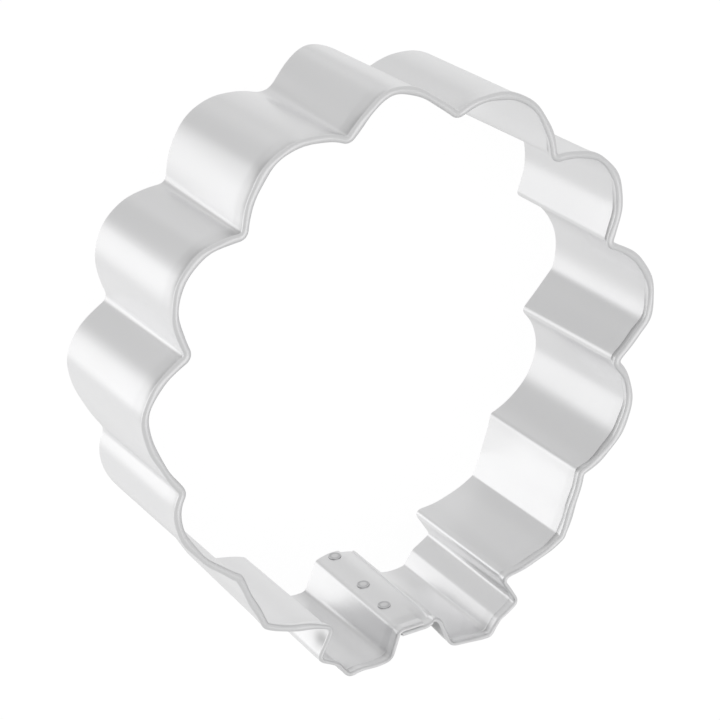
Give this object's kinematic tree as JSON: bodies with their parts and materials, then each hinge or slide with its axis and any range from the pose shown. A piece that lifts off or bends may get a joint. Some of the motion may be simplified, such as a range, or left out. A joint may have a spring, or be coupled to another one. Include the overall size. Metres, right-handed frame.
{
  "type": "cookie cutter",
  "caption": "Turkey-shaped cookie cutter: a tinplate strip bent into a fan-tailed bird outline, with a hemmed rim, a cut lower edge and lapped ends joined by spot welds.",
  "frame": {"origin": "middle of the outline's box, in the plane of the cutting edge", "axes": "+Z from the cutting edge to the hemmed rim, +Y towards the top of the tail, +X to the right seen from the rim side"},
  "size_m": [0.0842, 0.0896, 0.0254],
  "materials": {
    "tinplate": "satin tin plating, light grey, faint rolling grain along the strip",
    "weld": "darker grey where the electrodes pressed, slightly rougher than the strip"
  },
  "bodies": {
    "root": {"formed_strip": "tinplate", "weld_nugget_lower": "weld", "weld_nugget_middle": "weld", "weld_nugget_upper": "weld"}
  },
  "joints": []
}
